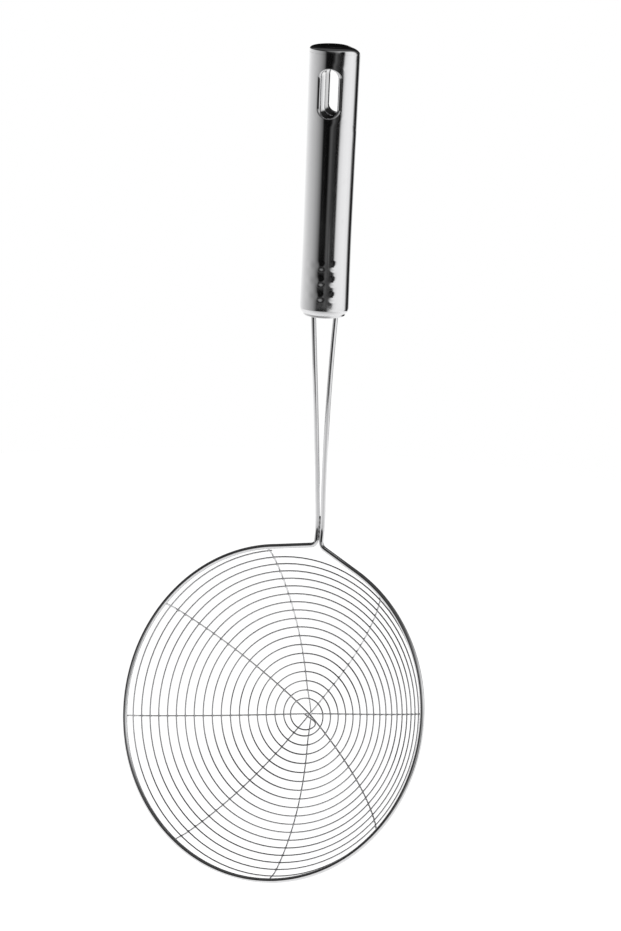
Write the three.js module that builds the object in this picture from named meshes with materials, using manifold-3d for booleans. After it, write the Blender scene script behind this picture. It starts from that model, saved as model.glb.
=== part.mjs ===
// Spiral wire skimmer: a wire bowl in a rim wire, whose two legs run up into a hollow steel handle.
// Millimetres and degrees. +Z runs up the handle, -Y is the handle's front, and the origin is the
// middle of the hang slot.
import * as THREE from "three";
import { mergeVertices } from "three/addons/utils/BufferGeometryUtils.js";
import Module from "manifold-3d";

const wasm = await Module();
wasm.setup();

// Clearance between pieces that touch
const FIT_GAP = 0.3;

// Handle tube, with a slight waist between its wider top and foot
const TOP_RADIUS = 10.8;
const WAIST_RADIUS = 10.45;
const FOOT_RADIUS = 10.7;
const FLARE_POWER = 1.3;
const FLARE_STEPS = 8;
const HANDLE_WALL = 0.9;
const HANDLE_TOP = 16.4;
const WAIST_HEIGHT = -62;
const HANDLE_BOTTOM = -95.7;
const CURL_RADIUS = 1.4;
const CURL_HEIGHT = 3.2;
const CURL_START = HANDLE_BOTTOM + CURL_HEIGHT;
const CURL_STEPS = 5;
const HANDLE_SIDES = 48;

// Hang slot, lined by two lips that are turned in from the front and the back wall
const SLOT_WIDTH = 7.2;
const SLOT_HEIGHT = 19.2;
const SLOT_EDGE_ROLL = 1.1;
const SLOT_END_SIDES = 14;
const LIP_WALL = 0.8;
const LIP_SEAM = 0.3;

// Grip bumps, in rows along the handle and columns round it
const BUMP_ROWS = 3;
const BUMP_COLUMNS = 3;
const BUMP_ROW_PITCH = 6.7;
const BUMP_COLUMN_TURN = 32.5;
const LOWEST_BUMP = HANDLE_BOTTOM + 8.4;
const BUMP_WIDTH = 5;
const BUMP_HEIGHT = 5.6;
const BUMP_RISE = 0.22;
const BUMP_ROOT = 0.3;
const BUMP_SIDES = 14;
const BUMP_RINGS = 9;

// End cap on top and plug below
const CAP_RISE = 2.7;
const CAP_ROUND = 1.5;
const CAP_SHOULDER_STEPS = 6;
const CAP_SPIGOT_LENGTH = 4;
const PLUG_LENGTH = 4;
const PLUG_STEP = 1;
const PLUG_DOME = 0.9;
const PLUG_HOLE_SIDES = 16;

// Rim wire and its legs
const RIM_RADIUS = 75;
const RIM_WIRE_RADIUS = 1.1;
const RIM_WIRE_SIDES = 8;
const RIM_STEPS = 66;
const NECK_TANGENT_AZIMUTH = 16.5;
const NECK_BEND_REACH = 2.6;
const NECK_BEND_STEPS = 6;
const LEG_SPREAD_AT_PLUG = 4.8;
const LEG_SPREAD_POWER = 1.7;
const LEG_DRIFT_POWER = 1.3;
const LEG_LENGTH_IN_HANDLE = 22;
const LEG_STEPS = 14;
const NECK_LEAN = 0.65;
const NECK_LEAN_REACH = 11;
const WELD_LENGTH = 12;
const WELD_WIDTH = 1.8;
const WELD_THICKNESS = 1.3;

// Where the bowl hangs: the neck's place, and the bowl's turn, tilt and swing from the handle's front
const NECK = new THREE.Vector3(2.6, 0.9, -204.3);
const BOWL_TURN = -17;
const BOWL_TILT = 22.7;
const NECK_SWING = -4.9;

// Cross wires, by the azimuths of their ends and from the front of the stack to its back
const BOWL_DEPTH = 39.7;
const CROSS_WIRE_RADIUS = 0.4;
const CROSS_WIRE_ENDS = [
  { from: -66, to: 116 },
  { from: 27.5, to: 201 },
  { from: -20.5, to: 161 },
  { from: 72.5, to: 250.5 },
];
const CROSS_WIRE_OVERRUN = 0.7;
const CROSS_WIRE_HALF_STEPS = 20;
const CROSSING_X = 0.75;
const CROSSING_Y = 0.95;
const CROSSING_HUMP_REACH = 14;

// Spiral wire, with turns that are a little oval and a centre that drifts from the outer turns inwards
const SPIRAL_WIRE_RADIUS = 0.35;
const THIN_WIRE_SIDES = 6;
const SPIRAL_OUTER_CENTRE = new THREE.Vector2(0.98, -0.18);
const SPIRAL_INNER_CENTRE = new THREE.Vector2(-0.15, -0.22);
const SPIRAL_OVAL = 0.32;
const SPIRAL_OVAL_AZIMUTH = 96;
const SPIRAL_OUTER_RADIUS = 74.2;
const SPIRAL_START_AZIMUTH = -20;
const SPIRAL_TURNS = 18.61;
const SPIRAL_PITCH = 4.33;
const SPIRAL_TIGHT_TURNS = 1.3;
const SPIRAL_TIGHTENING = 1.06;
const SPIRAL_STEPS_PER_TURN = 24;
const HOOK_RADIUS = 1.5;
const HOOK_TURN = 110;
const HOOK_STEPS = 6;
const TAIL_LENGTH = 6.2;
const NEIGHBOUR_STEPS = 8;

const rad = THREE.MathUtils.degToRad;
const { smoothstep } = THREE.MathUtils;
const ORIGIN = new THREE.Vector2();

// Polished steel for the handle and bright drawn wire for the bowl
const steel = (color, roughness) =>
  new THREE.MeshStandardMaterial({ color, roughness, metalness: 1 });
const POLISHED_STEEL = 0xc9cacc;
const RIM_STEEL = 0xc4c5c7;
const WIRE_STEEL = 0xb4b5b7;

// Joins and cuts
function solid(geometry) {
  const bare = geometry.clone();
  bare.deleteAttribute("normal");
  bare.deleteAttribute("uv");
  const merged = mergeVertices(bare, 1e-4);
  const vertProperties = new Float32Array(merged.attributes.position.array);
  const triVerts = new Uint32Array(merged.index.array);
  return new wasm.Manifold(new wasm.Mesh({ numProp: 3, vertProperties, triVerts }));
}

function geometryOf(manifold) {
  const mesh = manifold.getMesh();
  const geometry = new THREE.BufferGeometry();
  geometry.setAttribute("position", new THREE.BufferAttribute(mesh.vertProperties, 3));
  geometry.setIndex(new THREE.BufferAttribute(mesh.triVerts, 1));
  geometry.computeVertexNormals();
  return geometry;
}

// A solid of revolution about the handle's axis from a profile of [radius, height] points
function revolved(profile, sides = HANDLE_SIDES) {
  const points = profile.map(([radius, height]) => new THREE.Vector2(radius, height));
  return new THREE.LatheGeometry(points, sides).rotateX(Math.PI / 2);
}

// Points on an arc in a profile, from one angle to another, which is drawn out to an oval by its rise
function arc(radius, height, size, from, to, steps, rise = size) {
  return Array.from({ length: steps + 1 }, (_, i) => {
    const angle = rad(from + ((to - from) * i) / steps);
    return [radius + size * Math.cos(angle), height + rise * Math.sin(angle)];
  });
}

// A wire's path is the list of points that it passes through, close together where it bends
class WirePath extends THREE.Curve {
  constructor(points) {
    super();
    this.points = points;
  }

  getPoint(t) {
    const place = t * (this.points.length - 1);
    const i = Math.min(Math.floor(place), this.points.length - 2);
    return this.points[i].clone().lerp(this.points[i + 1], place - i);
  }

  getSpacedPoints() {
    return this.points;
  }

  getTangentAt(t) {
    const last = this.points.length - 1;
    const i = Math.round(t * last);
    const before = this.points[Math.max(i - 1, 0)];
    const after = this.points[Math.min(i + 1, last)];
    return after.clone().sub(before).normalize();
  }
}

function wireAlong(points, radius, sides) {
  const section = new THREE.Shape();
  section.absarc(0, 0, radius, 0, 2 * Math.PI);
  return new THREE.ExtrudeGeometry(section, {
    steps: points.length - 1,
    curveSegments: sides / 2,
    extrudePath: new WirePath(points),
  });
}

// An oblong with round ends, extruded along +Y from one depth to another
function oblong(width, height, from, to) {
  const end = (height - width) / 2;
  const outline = new THREE.Shape();
  outline.absarc(0, end, width / 2, 0, Math.PI);
  outline.absarc(0, -end, width / 2, Math.PI, 2 * Math.PI);
  const bar = new THREE.ExtrudeGeometry(outline, {
    depth: to - from,
    bevelEnabled: false,
    curveSegments: SLOT_END_SIDES,
  });
  return solid(bar.rotateX(Math.PI / 2).translate(0, to, 0));
}

// The room above the slot's rolled edge: a ring with a quarter-round below, drawn out to the oblong
// and laid on the tube's round front
function edgeRoll() {
  const clear = SLOT_WIDTH / 2;
  const middle = (SLOT_HEIGHT - SLOT_WIDTH) / 2;
  const outer = clear + SLOT_EDGE_ROLL;
  const profile = [
    [outer, 0],
    [outer, SLOT_EDGE_ROLL],
    [clear / 2, SLOT_EDGE_ROLL],
    [clear / 2, -SLOT_EDGE_ROLL],
    ...arc(outer, -SLOT_EDGE_ROLL, SLOT_EDGE_ROLL, 180, 90, 4),
  ];
  const ring = revolved(profile, 2 * SLOT_END_SIDES).rotateZ(Math.PI / (2 * SLOT_END_SIDES));
  const { position } = ring.attributes;
  const point = new THREE.Vector3();
  for (let i = 0; i < position.count; i += 1) {
    point.fromBufferAttribute(position, i);
    const height = point.y + Math.sign(point.y) * middle;
    const surface = Math.sqrt(handleRadius(height) ** 2 - point.x ** 2);
    position.setXYZ(i, point.x, -surface - point.z, height);
  }
  return ring;
}

// The handle's outer radius at a height
function handleRadius(height) {
  const above = height > WAIST_HEIGHT;
  const flare = (above ? TOP_RADIUS : FOOT_RADIUS) - WAIST_RADIUS;
  const end = above ? HANDLE_TOP : CURL_START;
  return WAIST_RADIUS + flare * ((height - WAIST_HEIGHT) / (end - WAIST_HEIGHT)) ** FLARE_POWER;
}

// The tube's wall in profile: up its outside from the curled edge to the top, and down its inside
function tubeProfile() {
  const outside = Array.from({ length: FLARE_STEPS + 1 }, (_, i) => {
    const height = CURL_START + ((HANDLE_TOP - CURL_START) * i) / FLARE_STEPS;
    return [handleRadius(height), height];
  });
  const inside = outside.map(([radius, height]) => [radius - HANDLE_WALL, height]).reverse();
  const curlCentre = FOOT_RADIUS - CURL_RADIUS;
  const insideSize = CURL_RADIUS - HANDLE_WALL;
  const insideHeight = CURL_HEIGHT - HANDLE_WALL;
  return [
    ...arc(curlCentre, CURL_START, CURL_RADIUS, -90, 0, CURL_STEPS, CURL_HEIGHT),
    ...outside.slice(1),
    ...inside.slice(0, -1),
    ...arc(curlCentre, CURL_START, insideSize, 0, -90, CURL_STEPS, insideHeight),
    [curlCentre, HANDLE_BOTTOM],
  ];
}

// Handle tube: a drawn tube with its lower edge curled in, two turned-in slot lips and grip bumps
function handleTube() {
  const opening = oblong(SLOT_WIDTH, SLOT_HEIGHT, -2 * TOP_RADIUS, 2 * TOP_RADIUS);
  const midWall = handleRadius(0) - HANDLE_WALL / 2;
  const insideWall = new THREE.CylinderGeometry(1, 1, 2 * SLOT_HEIGHT, HANDLE_SIDES)
    .scale(midWall, 1, midWall)
    .rotateX(Math.PI / 2);
  const lipWidth = SLOT_WIDTH + 2 * LIP_WALL;
  const lipHeight = SLOT_HEIGHT + 2 * LIP_WALL;
  const frontLip = oblong(lipWidth, lipHeight, -TOP_RADIUS, -LIP_SEAM / 2);
  const backLip = oblong(lipWidth, lipHeight, LIP_SEAM / 2, TOP_RADIUS);
  let tube = solid(revolved(tubeProfile()));
  tube = tube.add(frontLip.intersect(solid(insideWall)));
  tube = tube.add(backLip.intersect(solid(insideWall)));
  tube = tube.subtract(opening);
  tube = tube.subtract(solid(edgeRoll()));
  tube = tube.subtract(solid(edgeRoll().rotateZ(Math.PI)));
  for (let row = 0; row < BUMP_ROWS; row += 1) {
    for (let column = 0; column < BUMP_COLUMNS; column += 1) {
      tube = tube.add(bump(row, column - (BUMP_COLUMNS - 1) / 2));
    }
  }
  return geometryOf(tube);
}

// A bump is a shallow lens that is laid round the tube's front and rooted in its wall
function bump(row, column) {
  const reach = BUMP_RISE + BUMP_ROOT;
  const mouth = Math.sqrt(1 - (BUMP_ROOT / reach) ** 2);
  const lens = new THREE.SphereGeometry(1, BUMP_SIDES, BUMP_RINGS)
    .scale(BUMP_WIDTH / 2 / mouth, reach, BUMP_HEIGHT / 2 / mouth)
    .translate(0, BUMP_ROOT, LOWEST_BUMP + row * BUMP_ROW_PITCH);
  const { position } = lens.attributes;
  for (let i = 0; i < position.count; i += 1) {
    const height = position.getZ(i);
    const angle = position.getX(i) / FOOT_RADIUS + rad(column * BUMP_COLUMN_TURN);
    const radius = handleRadius(height) - position.getY(i);
    position.setXYZ(i, radius * Math.sin(angle), -radius * Math.cos(angle), height);
  }
  return solid(lens);
}

// End cap: a tall round edge that runs into a flat top, on a spigot that sits in the tube
function endCap() {
  const spigot = TOP_RADIUS - HANDLE_WALL - FIT_GAP;
  const seat = HANDLE_TOP + FIT_GAP;
  const top = HANDLE_TOP + CAP_RISE;
  return revolved([
    [0, HANDLE_TOP - CAP_SPIGOT_LENGTH],
    [spigot, HANDLE_TOP - CAP_SPIGOT_LENGTH],
    [spigot, seat],
    ...arc(TOP_RADIUS - CAP_ROUND, seat, CAP_ROUND, 0, 90, CAP_SHOULDER_STEPS, top - seat),
    [0, top],
  ]);
}

// Plug: closes the tube's lower end, with a domed face, a short straight edge and a hole for each leg
function bottomPlug() {
  const edge = FOOT_RADIUS - CURL_RADIUS - FIT_GAP;
  const rise = [0, 0.3, 0.6, 0.85, 1].map((share) => [
    edge * share,
    HANDLE_BOTTOM - PLUG_STEP - PLUG_DOME * (1 - share ** 2),
  ]);
  const inner = HANDLE_BOTTOM - PLUG_DOME + PLUG_LENGTH;
  const body = solid(revolved([...rise, [edge, inner], [0, inner]]));
  const hole = RIM_WIRE_RADIUS + FIT_GAP;
  const drill = new THREE.CylinderGeometry(hole, hole, 4 * PLUG_LENGTH, PLUG_HOLE_SIDES);
  drill.rotateX(Math.PI / 2).translate(0, 0, HANDLE_BOTTOM);
  const left = solid(drill.clone().translate(-LEG_SPREAD_AT_PLUG, 0, 0));
  const right = solid(drill.clone().translate(LEG_SPREAD_AT_PLUG, 0, 0));
  return geometryOf(body.subtract(left).subtract(right));
}

// The bowl's own frame: the rim's centre, +Y towards the neck and +Z out of the bowl's mouth
const NECK_REACH = RIM_RADIUS / Math.cos(rad(NECK_TANGENT_AZIMUTH));
const X_AXIS = new THREE.Vector3(1, 0, 0);
const Z_AXIS = new THREE.Vector3(0, 0, 1);
const turned = (axis, degrees) => new THREE.Quaternion().setFromAxisAngle(axis, rad(degrees));
const bowlTurn = turned(Z_AXIS, BOWL_TURN)
  .multiply(turned(X_AXIS, 90 - BOWL_TILT))
  .multiply(turned(Z_AXIS, NECK_SWING));
const rimCentre = new THREE.Vector3(0, -NECK_REACH, 0).applyQuaternion(bowlTurn).add(NECK);

// A place in the rim's plane, by its azimuth from the neck, clockwise as seen into the bowl
const inRimPlane = (radius, azimuth) => [
  radius * Math.sin(rad(azimuth)),
  radius * Math.cos(rad(azimuth)),
];

function onRim(azimuth) {
  const [x, y] = inRimPlane(RIM_RADIUS, azimuth);
  return new THREE.Vector3(x, y, 0).applyQuaternion(bowlTurn).add(rimCentre);
}

// One leg from the neck, at share 0, to the plug, at share 1, with a lean to one side just above the neck
const LEG_SPREAD_AT_NECK = RIM_WIRE_RADIUS + FIT_GAP / 2;
const sidewaysAtNeck = X_AXIS.clone().applyQuaternion(bowlTurn);
function legPoint(side, share) {
  const grown = (LEG_SPREAD_AT_PLUG - LEG_SPREAD_AT_NECK) * share ** LEG_SPREAD_POWER;
  const spread = LEG_SPREAD_AT_NECK + grown;
  const drift = (1 - share) ** LEG_DRIFT_POWER;
  const height = NECK.z + (HANDLE_BOTTOM - NECK.z) * share;
  const lean = NECK_LEAN * Math.max(0, 1 - (height - NECK.z) / NECK_LEAN_REACH) ** 2;
  const middle = new THREE.Vector3(NECK.x * drift, NECK.y * drift, height);
  const sideways = sidewaysAtNeck.clone().lerp(X_AXIS, share).normalize();
  return middle.addScaledVector(sideways, side * spread - lean);
}

// The point at a set distance from one point towards another
function stepTowards(start, goal, distance) {
  return start.clone().lerp(goal, distance / start.distanceTo(goal));
}

// A leg from inside the handle down to the neck, and its bend towards the rim's circle
function legAndNeck(side) {
  const legTop = HANDLE_BOTTOM + LEG_LENGTH_IN_HANDLE;
  const leg = [new THREE.Vector3(side * LEG_SPREAD_AT_PLUG, 0, legTop)];
  for (let i = LEG_STEPS; i > 0; i -= 1) {
    leg.push(legPoint(side, i / LEG_STEPS));
  }
  const corner = legPoint(side, 0);
  const bendStart = stepTowards(corner, leg[leg.length - 1], NECK_BEND_REACH);
  const bendEnd = stepTowards(corner, onRim(side * NECK_TANGENT_AZIMUTH), NECK_BEND_REACH);
  const bend = new THREE.QuadraticBezierCurve3(bendStart, corner, bendEnd);
  return [...leg, ...bend.getPoints(NECK_BEND_STEPS)];
}

// Rim wire: one wire that runs down a leg, round the rim and up the other leg, welded at the neck
function rimWire() {
  const circle = [];
  const sweep = 360 - 2 * NECK_TANGENT_AZIMUTH;
  for (let i = 0; i <= RIM_STEPS; i += 1) {
    circle.push(onRim(-NECK_TANGENT_AZIMUTH - (sweep * i) / RIM_STEPS));
  }
  const path = [...legAndNeck(-1), ...circle, ...legAndNeck(1).reverse()];
  const weldHeight = WELD_LENGTH / 2 + NECK_BEND_REACH;
  const weldPlace = legPoint(0, weldHeight / (HANDLE_BOTTOM - NECK.z));
  const weld = new THREE.SphereGeometry(1, 10, 8)
    .scale(WELD_WIDTH / 2, WELD_THICKNESS / 2, WELD_LENGTH / 2)
    .translate(...weldPlace);
  return geometryOf(solid(wireAlong(path, RIM_WIRE_RADIUS, RIM_WIRE_SIDES)).add(solid(weld)));
}

// The cross wires lie on a sphere that passes just outside the rim, and the spiral lies inside them
const RIM_TO_CROSS_WIRE = RIM_WIRE_RADIUS + CROSS_WIRE_RADIUS + FIT_GAP;
const RIM_SAG = BOWL_DEPTH - RIM_TO_CROSS_WIRE;
const CENTRE_RISE = (RIM_RADIUS ** 2 - RIM_SAG ** 2) / (2 * RIM_SAG);
const CROSS_WIRE_SPHERE = CENTRE_RISE + BOWL_DEPTH;
const SPIRAL_SPHERE = CROSS_WIRE_SPHERE - CROSS_WIRE_RADIUS - SPIRAL_WIRE_RADIUS - FIT_GAP;

// A point of a sphere about the bowl's centre of curvature, behind a place in the rim's plane
function onSphere(size, x, y) {
  return new THREE.Vector3(x, y, CENTRE_RISE - Math.sqrt(size ** 2 - x ** 2 - y ** 2));
}

// Half of a cross wire, from its end past the rim to the crossing, where its layer humps it outwards
function crossWireHalf(azimuth, layer) {
  const [endX, endY] = inRimPlane(RIM_RADIUS + CROSS_WIRE_OVERRUN, azimuth);
  const hump = layer * (2 * CROSS_WIRE_RADIUS + FIT_GAP);
  const points = [];
  for (let i = CROSS_WIRE_HALF_STEPS; i >= 0; i -= 1) {
    const share = i / CROSS_WIRE_HALF_STEPS;
    const x = CROSSING_X + (endX - CROSSING_X) * share;
    const y = CROSSING_Y + (endY - CROSSING_Y) * share;
    const lift = hump * (1 - smoothstep(share * RIM_RADIUS, 0, CROSSING_HUMP_REACH));
    points.push(onSphere(CROSS_WIRE_SPHERE + lift, x, y));
  }
  return points;
}

function crossWire({ from, to }, layer) {
  const path = [...crossWireHalf(from, layer), ...crossWireHalf(to, layer).reverse().slice(1)];
  return wireAlong(path, CROSS_WIRE_RADIUS, THIN_WIRE_SIDES);
}

// The spiral winds inwards at a steady pitch along the sphere, which eases in its last turn
function windingPoint(turn) {
  const outerArc = SPIRAL_SPHERE * Math.asin(SPIRAL_OUTER_RADIUS / SPIRAL_SPHERE);
  const late = Math.max(0, turn - SPIRAL_TURNS + SPIRAL_TIGHT_TURNS);
  const distance = outerArc - SPIRAL_PITCH * turn + SPIRAL_TIGHTENING * late ** 2;
  const radius = SPIRAL_SPHERE * Math.sin(distance / SPIRAL_SPHERE);
  const azimuth = SPIRAL_START_AZIMUTH - 360 * turn;
  const oval = SPIRAL_OVAL * Math.cos(2 * rad(azimuth - SPIRAL_OVAL_AZIMUTH));
  const [x, y] = inRimPlane(radius + oval, azimuth);
  const drift = (radius / SPIRAL_OUTER_RADIUS) ** 2;
  const centre = SPIRAL_INNER_CENTRE.clone().lerp(SPIRAL_OUTER_CENTRE, drift);
  return centre.add(new THREE.Vector2(x, y));
}

// Spiral wire: its turns, a hook at the centre and a straight tail across the cross wires
function spiralPath() {
  const flat = [];
  const steps = Math.round(SPIRAL_TURNS * SPIRAL_STEPS_PER_TURN);
  for (let i = 0; i <= steps; i += 1) {
    flat.push(windingPoint((SPIRAL_TURNS * i) / steps));
  }
  const hookStart = flat[flat.length - 1];
  const heading = hookStart.clone().sub(flat[flat.length - 2]).angle();
  for (let i = 1; i <= HOOK_STEPS; i += 1) {
    const turn = (rad(HOOK_TURN) * i) / HOOK_STEPS;
    const onHook = new THREE.Vector2(Math.sin(turn), 1 - Math.cos(turn));
    flat.push(onHook.multiplyScalar(HOOK_RADIUS).rotateAround(ORIGIN, heading).add(hookStart));
  }
  const tail = new THREE.Vector2(TAIL_LENGTH, 0).rotateAround(ORIGIN, heading + rad(HOOK_TURN));
  flat.push(tail.add(flat[flat.length - 1]));
  return flat.map(({ x, y }) => onSphere(SPIRAL_SPHERE, x, y));
}

// The least clear distance between parts of a wire that aren't neighbours along it
function leastGap(points, radius) {
  let least = Infinity;
  for (let i = 0; i < points.length; i += 1) {
    for (let j = i + NEIGHBOUR_STEPS; j < points.length; j += 1) {
      least = Math.min(least, points[i].distanceTo(points[j]) - 2 * radius);
    }
  }
  return least;
}

const spiralPoints = spiralPath();
const spiralGap = leastGap(spiralPoints, SPIRAL_WIRE_RADIUS);
console.log(`spiral wire, least gap to itself: ${spiralGap.toFixed(2)} mm`);

// Assembly
const skimmer = new THREE.Group();
skimmer.name = "wire_skimmer";

function addPiece(parent, name, geometry, material) {
  const mesh = new THREE.Mesh(geometry, material);
  mesh.name = name;
  parent.add(mesh);
}

addPiece(skimmer, "handle_tube", handleTube(), steel(POLISHED_STEEL, 0.22));
addPiece(skimmer, "handle_end_cap", endCap(), steel(POLISHED_STEEL, 0.2));
addPiece(skimmer, "handle_bottom_plug", bottomPlug(), steel(POLISHED_STEEL, 0.25));
addPiece(skimmer, "rim_wire", rimWire(), steel(RIM_STEEL, 0.18));

const bowl = new THREE.Group();
bowl.position.copy(rimCentre);
bowl.quaternion.copy(bowlTurn);
skimmer.add(bowl);
CROSS_WIRE_ENDS.forEach((ends, layer) => {
  addPiece(bowl, `cross_wire_${layer + 1}`, crossWire(ends, layer), steel(WIRE_STEEL, 0.3));
});
const spiral = wireAlong(spiralPoints, SPIRAL_WIRE_RADIUS, THIN_WIRE_SIDES);
addPiece(bowl, "spiral_wire", spiral, steel(WIRE_STEEL, 0.3));

export default skimmer;
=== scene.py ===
from math import asin, atan2, cos, degrees, pi, radians, sin, sqrt

import bpy
from mathutils import Matrix, Vector
from mathutils.geometry import intersect_line_line_2d


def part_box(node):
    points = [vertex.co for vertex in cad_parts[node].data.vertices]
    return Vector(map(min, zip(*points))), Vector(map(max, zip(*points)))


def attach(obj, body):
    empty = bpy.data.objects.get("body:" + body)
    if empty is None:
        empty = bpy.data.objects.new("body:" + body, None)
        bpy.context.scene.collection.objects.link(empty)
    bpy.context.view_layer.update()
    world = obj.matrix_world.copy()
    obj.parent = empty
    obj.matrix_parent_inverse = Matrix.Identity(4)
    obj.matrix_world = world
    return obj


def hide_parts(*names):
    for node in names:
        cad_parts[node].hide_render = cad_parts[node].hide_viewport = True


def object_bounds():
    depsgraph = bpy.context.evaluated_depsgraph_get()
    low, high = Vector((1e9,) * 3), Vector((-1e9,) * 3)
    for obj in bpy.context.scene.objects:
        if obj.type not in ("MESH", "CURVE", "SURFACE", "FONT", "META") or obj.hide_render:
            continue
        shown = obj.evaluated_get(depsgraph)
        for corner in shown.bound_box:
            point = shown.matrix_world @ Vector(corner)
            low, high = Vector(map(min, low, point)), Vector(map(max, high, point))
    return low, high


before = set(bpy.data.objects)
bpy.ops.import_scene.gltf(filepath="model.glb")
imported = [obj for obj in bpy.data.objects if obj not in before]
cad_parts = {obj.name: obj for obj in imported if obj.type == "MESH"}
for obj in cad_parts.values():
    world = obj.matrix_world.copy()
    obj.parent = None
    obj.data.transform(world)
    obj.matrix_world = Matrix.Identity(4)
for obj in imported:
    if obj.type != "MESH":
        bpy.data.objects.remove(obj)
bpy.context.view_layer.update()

MM = 0.001

# How close points are merged, and the angles past which an edge stays sharp
POINT_SEAM = 0.002 * MM
SHELL_SEAM = 0.01 * MM
CREASE = 35
SOFT_CREASE = 60

# Handle, measured on the frame where a box gives the size
HANDLE_LOW, HANDLE_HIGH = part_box("handle_tube")
HANDLE_TOP = HANDLE_HIGH.z
HANDLE_BOTTOM = HANDLE_LOW.z
TOP_RADIUS = HANDLE_HIGH.x
WAIST_RADIUS = 10.45 * MM
FOOT_RADIUS = 10.7 * MM
WAIST_HEIGHT = -62 * MM
FLARE_POWER = 1.3
HANDLE_SIDES = 144
HANDLE_WALL = 0.5 * MM
CURL_RADIUS = 1.4 * MM
CURL_HEIGHT = 2.6 * MM
CURL_START = HANDLE_BOTTOM + CURL_HEIGHT
CURL_STEPS = 16
PLAIN_RINGS = 8
CAP_LOW, CAP_TOP = [corner.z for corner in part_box("handle_end_cap")]
PLUG_LOW, PLUG_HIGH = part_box("handle_bottom_plug")
SEAM_GAP = 0.03 * MM

# Hang slot: its clear opening, rolled edge, lips and the shallow dish that the press leaves round it
SLOT_WIDTH = 7.2 * MM
SLOT_HEIGHT = 20.6 * MM
SLOT_ROLL = 1.9 * MM
SLOT_END_ROLL = 0.25 * MM
SLOT_DISH_DEPTH = 0.04 * MM
SLOT_DISH_REACH = 3.4 * MM
LIP_SEAM = 0.3 * MM
LIP_SEAM_ROUND = 0.35 * MM
BACK_BEAD = 0.3 * MM
SHELL_END = -HANDLE_TOP
SHELL_SIDE_STEPS = 44
ROLL_STEPS = 8
DISH_STEPS = 6
SHELL_STEPS = 7

# Grip bumps
BUMP_ROWS = 3
BUMP_COLUMNS = 3
BUMP_ROW_PITCH = 6.7 * MM
BUMP_COLUMN_TURN = 30
LOWEST_BUMP = HANDLE_BOTTOM + 8.8 * MM
BUMP_WIDTH = 5.4 * MM
BUMP_HEIGHT = 5.8 * MM
BUMP_RISE = 0.12 * MM
BUMP_RING_PITCH = 0.3 * MM

# End cap and plug
CAP_SPIGOT = TOP_RADIUS - 1.6 * MM
CAP_ROUND_STEPS = 20
SHOULDER_SIDE = Vector((0.9, 0.436))
SHOULDER_WIDTHS = (3.2 * MM, 7.6 * MM)
SHOULDER_HEIGHTS = (1.4 * MM, 4 * MM)
SHOULDER_GROWTH = 5
CAP_DISH = 0.25 * MM
CAP_DISH_STEPS = 10
PLUG_DOME = 0.9 * MM
PLUG_DOME_STEPS = 12
PLUG_EDGE_ROUND = 0.15 * MM
PLUG_EDGE_START = -60
PLUG_EDGE_STEPS = 4

# Rim wire and legs
RIM_RADIUS = 75 * MM
RIM_WIRE_RADIUS = 1.1 * MM
NECK = Vector((2.6, 0.9, -204.5)) * MM
NECK_TANGENT_AZIMUTH = 16.5
NECK_REACH = RIM_RADIUS / cos(radians(NECK_TANGENT_AZIMUTH))
NECK_BEND_REACH = 2.6 * MM
LEG_SPREAD_AT_NECK = RIM_WIRE_RADIUS + 0.15 * MM
LEG_SPREAD_AT_PLUG = 5.05 * MM
LEG_SPREAD_POWER = 1.7
LEG_SHIFTS = (-0.4 * MM, 0.24 * MM)
LEG_DRIFT_POWER = 1.3
LEG_LENGTH_IN_HANDLE = 22 * MM
LEG_STEPS = 60
NECK_LEAN = 0.65 * MM
NECK_DIP = 1.6 * MM
NECK_LEAN_REACH = 15 * MM
NECK_BEND_STEPS = 16
RIM_STEPS = 240
RIM_WIRE_SIDES = 24
WIRE_END_SHARES = (0.04, 0.15, 0.4, 1)
NECK_WELD_LENGTH = 11 * MM
NECK_WELD_RADIUS = 0.62 * MM
NECK_WELD_RIPPLES = 5
NECK_WELD_RIPPLE_STEPS = 8
NECK_WELD_RIPPLE_DEPTH = 0.15
BOWL_TURN = -17
BOWL_TILT = 22.7
NECK_SWING = -4.9

# Bowl wires
BOWL_DEPTH = 39.7 * MM
FIT_GAP = 0.3 * MM
CROSS_WIRE_RADIUS = 0.4 * MM
CROSS_WIRE_ENDS = ((-66, 117), (27.5, 201), (-20.5, 161), (72.5, 250.5))
CROSS_WIRE_STOP = 0.4 * MM
CROSS_WIRE_TUCK = 1.2 * MM
CROSS_WIRE_TUCK_START = 0.955
CROSS_WIRE_HALF_STEPS = 60
CROSS_WIRE_SIDES = 12
CROSSING = Vector((0.75, 0.95)) * MM
CROSSING_HUMP_REACH = 14 * MM
SPIRAL_WIRE_RADIUS = 0.35 * MM
SPIRAL_OUTER_CENTRE = Vector((0.98, -0.18)) * MM
SPIRAL_INNER_CENTRE = Vector((-0.15, -0.22)) * MM
SPIRAL_OVAL = 0.32 * MM
SPIRAL_OVAL_AZIMUTH = 96
SPIRAL_OUTER_RADIUS = 74.2 * MM
SPIRAL_START_AZIMUTH = -20
SPIRAL_TURNS = 18.61
SPIRAL_PITCH = 4.33 * MM
SPIRAL_TIGHT_TURNS = 1.3
SPIRAL_TIGHTENING = 1.06 * MM
SPIRAL_WIRE_SIDES = 10
HOOK_RADIUS = 1.5 * MM
HOOK_TURN = 110
HOOK_STEPS = 12
TAIL_LENGTH = 6.2 * MM
TAIL_STEPS = 6
SPIRAL_STEPS_PER_TURN = 96
SPOT_WELD_RADIUS = 0.5 * MM
SPOT_WELD_GAP = 0.3 * MM
SPOT_WELD_FLATNESS = 0.9
SPOT_WELD_UNEVENNESS = 0.1
SPOT_WELD_SEED = 4

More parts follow.
